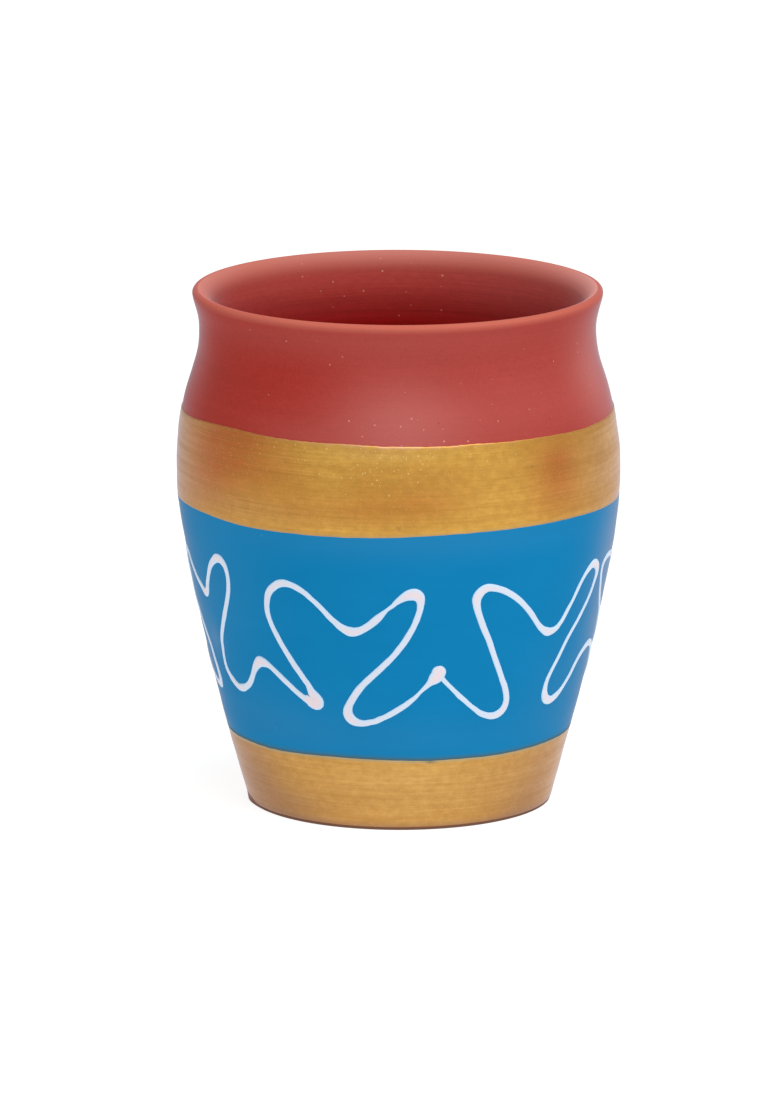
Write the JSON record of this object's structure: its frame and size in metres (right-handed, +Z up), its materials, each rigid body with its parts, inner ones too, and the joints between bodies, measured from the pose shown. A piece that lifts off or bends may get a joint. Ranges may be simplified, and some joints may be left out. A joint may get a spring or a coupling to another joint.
{
  "type": "clay kulhad cup",
  "caption": "Wheel-thrown terracotta tea cup without a handle: flared wall, drawn-in neck, rounded lip, painted gold and blue bands and a trailed white line.",
  "frame": {"origin": "middle of the flat base, on the surface the cup stands on", "axes": "+Z up along the axis the cup was thrown on, -Y towards the front of the painted pattern, +X to its right"},
  "size_m": [0.0726, 0.0726, 0.085],
  "materials": {
    "terracotta": "matte unglazed fired clay, red-brown, fine turning lines and sparse mica specks",
    "gold_paint": "metallic gold paint brushed on round the cup, satin",
    "blue_paint": "flat cobalt-turquoise paint, matte",
    "white_line": "thick white paint trailed from a nozzle, satin"
  },
  "bodies": {
    "root": {"clay_body": "terracotta", "shoulder_gold_band": "gold_paint", "blue_band": "blue_paint", "foot_gold_band": "gold_paint", "white_trail": "white_line"}
  },
  "joints": []
}
